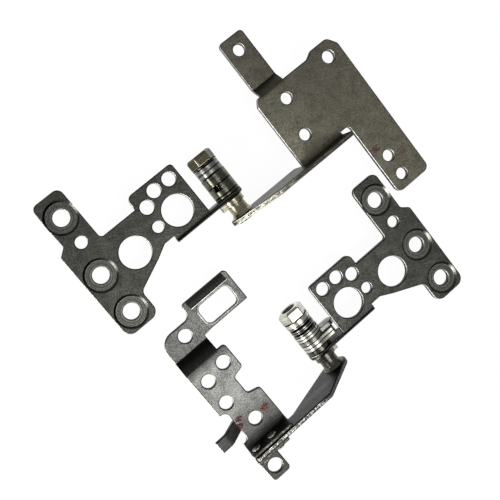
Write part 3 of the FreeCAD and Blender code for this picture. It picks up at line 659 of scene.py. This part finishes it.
def slot_rim():
    """The raised rim pressed round the right bracket's slot."""
    bpy.ops.object.select_all(action="DESELECT")
    place = (SLOT_MIDDLE[0] * MM, SLOT_MIDDLE[1] * MM, TAB_TOP * MM)
    bpy.ops.mesh.primitive_plane_add(size=1 * MM, location=place)
    rim = bpy.context.object
    rim.name = "slot_rim"
    bpy.ops.object.transform_apply(location=True, rotation=True, scale=True)
    bpy.ops.object.mode_set(mode="EDIT")
    bpy.ops.mesh.select_all(action="SELECT")
    sides = [side + 2 * RIM_WIDTH for side in SLOT_SIDES]
    bpy.ops.transform.resize(value=(sides[0], sides[1], 1), center_override=place)
    bpy.ops.mesh.bevel(
        offset=(SLOT_ROUND + RIM_WIDTH) * MM, offset_type="OFFSET", segments=SLOT_STEPS,
        profile=0.5, affect="VERTICES")
    bpy.ops.mesh.select_all(action="SELECT")
    bpy.ops.mesh.inset(thickness=RIM_WIDTH * MM, depth=0)
    bpy.ops.mesh.delete(type="FACE")
    bpy.ops.mesh.select_all(action="SELECT")
    bpy.ops.mesh.extrude_region_move(TRANSFORM_OT_translate={"value": (0, 0, RIM_HEIGHT * MM)})
    bpy.ops.mesh.select_all(action="SELECT")
    bpy.ops.mesh.normals_make_consistent(inside=False)
    bpy.ops.object.mode_set(mode="OBJECT")
    # The rim's rounded edge is a painted highlight
    for material in (RIGHT, BRIGHT):
        rim.data.materials.append(material)
    break_edges(rim, RIM_ROUND)
    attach(rim, "base_brackets")


for sheet, edge, flat, level, slot_name, node_names in SHEETS:
    for node_name in node_names:
        sheet_piece(node_name, sheet, edge, flat, level)
for metal, corner_metal, slot_name, rounding, node_names in TURNED:
    for node_name in node_names:
        turned_piece(node_name, metal, corner_metal, rounding)
for number, (paint, middle, length, width, turn) in enumerate(DABS, 1):
    paint_dab(number, paint, middle, length, width, turn)
slot_rim()


# Studio

def floor():
    """A white floor that still takes the hinges' shadow."""
    bpy.ops.object.select_all(action="DESELECT")
    level = CAD_BOX[0][2] - FLOOR_GAP * MM
    bpy.ops.mesh.primitive_plane_add(size=FLOOR_SIZE * MM, location=(0, 0, level))
    ground = bpy.context.object
    ground.name = "studio_floor"
    paper = Finish("white_paper", metallic=0.0)
    fibre = paper.clip(paper.noise(PAPER_FIBRE), 0.3, 0.7)
    paper.surface(paper.blend(fibre, PAPER_DARK, PAPER_LIGHT), PAPER_ROUGH)
    rays = paper.tree.nodes.new("ShaderNodeLightPath").outputs
    straight = Tone(paper, rays["Is Camera Ray"])
    mirrored = Tone(paper, rays["Is Glossy Ray"])
    through = Tone(paper, rays["Is Transmission Ray"])
    seen = paper.math("MINIMUM", straight + mirrored + through, 1.0)
    shaded = Tone(paper, paper.shader.outputs[0])
    glow = paper.node("Emission", {}, {"Color": WHITE, "Strength": PAPER_WHITE})
    mixed = paper.node("MixShader", {}, {0: FLOOR_GLOW * seen, 1: shaded, 2: glow})
    paper.feed(paper.tree.nodes["Material Output"].inputs["Surface"], mixed)
    ground.data.materials.append(paper.material)


def lamp(name, place, aim, panel, watts):
    """A flat studio panel, turned to shine at its aim."""
    data = bpy.data.lights.new(name, "AREA")
    data.shape = "RECTANGLE"
    data.size, data.size_y = (side * MM for side in panel)
    data.energy = watts
    stand = bpy.data.objects.new(name, data)
    stand.location = Vector(place) * MM
    stand.rotation_euler = (Vector(place) - Vector(aim)).to_track_quat("Z", "Y").to_euler()
    bpy.context.scene.collection.objects.link(stand)


def world():
    """Even grey light from all round, seen as white."""
    sky = bpy.data.worlds.new("studio")
    sky.use_nodes = True
    tree = sky.node_tree
    light = tree.nodes["Background"]
    light.inputs["Color"].default_value = WHITE
    light.inputs["Strength"].default_value = WORLD_LEVEL
    white = tree.nodes.new("ShaderNodeBackground")
    white.inputs["Color"].default_value = WHITE
    seen = tree.nodes.new("ShaderNodeLightPath")
    mixed = tree.nodes.new("ShaderNodeMixShader")
    tree.links.new(seen.outputs["Is Camera Ray"], mixed.inputs[0])
    tree.links.new(light.outputs[0], mixed.inputs[1])
    tree.links.new(white.outputs[0], mixed.inputs[2])
    tree.links.new(mixed.outputs[0], tree.nodes["World Output"].inputs["Surface"])
    bpy.context.scene.world = sky


def camera():
    """Look almost straight down on the pair."""
    data = bpy.data.cameras.new("camera")
    data.lens = CAMERA_LENS
    data.sensor_width = CAMERA_SENSOR
    data.clip_start = CAMERA_NEAR * MM
    eye = bpy.data.objects.new("camera", data)
    eye.location = Vector(CAMERA_PLACE) * MM
    eye.rotation_euler = [radians(turn) for turn in CAMERA_TURN]
    bpy.context.scene.collection.objects.link(eye)
    bpy.context.scene.camera = eye


floor()
world()
for lamp_name, (place, aim, panel, watts) in LAMPS.items():
    lamp(lamp_name, place, aim, panel, watts)
camera()
bpy.context.scene.view_settings.view_transform = "Standard"
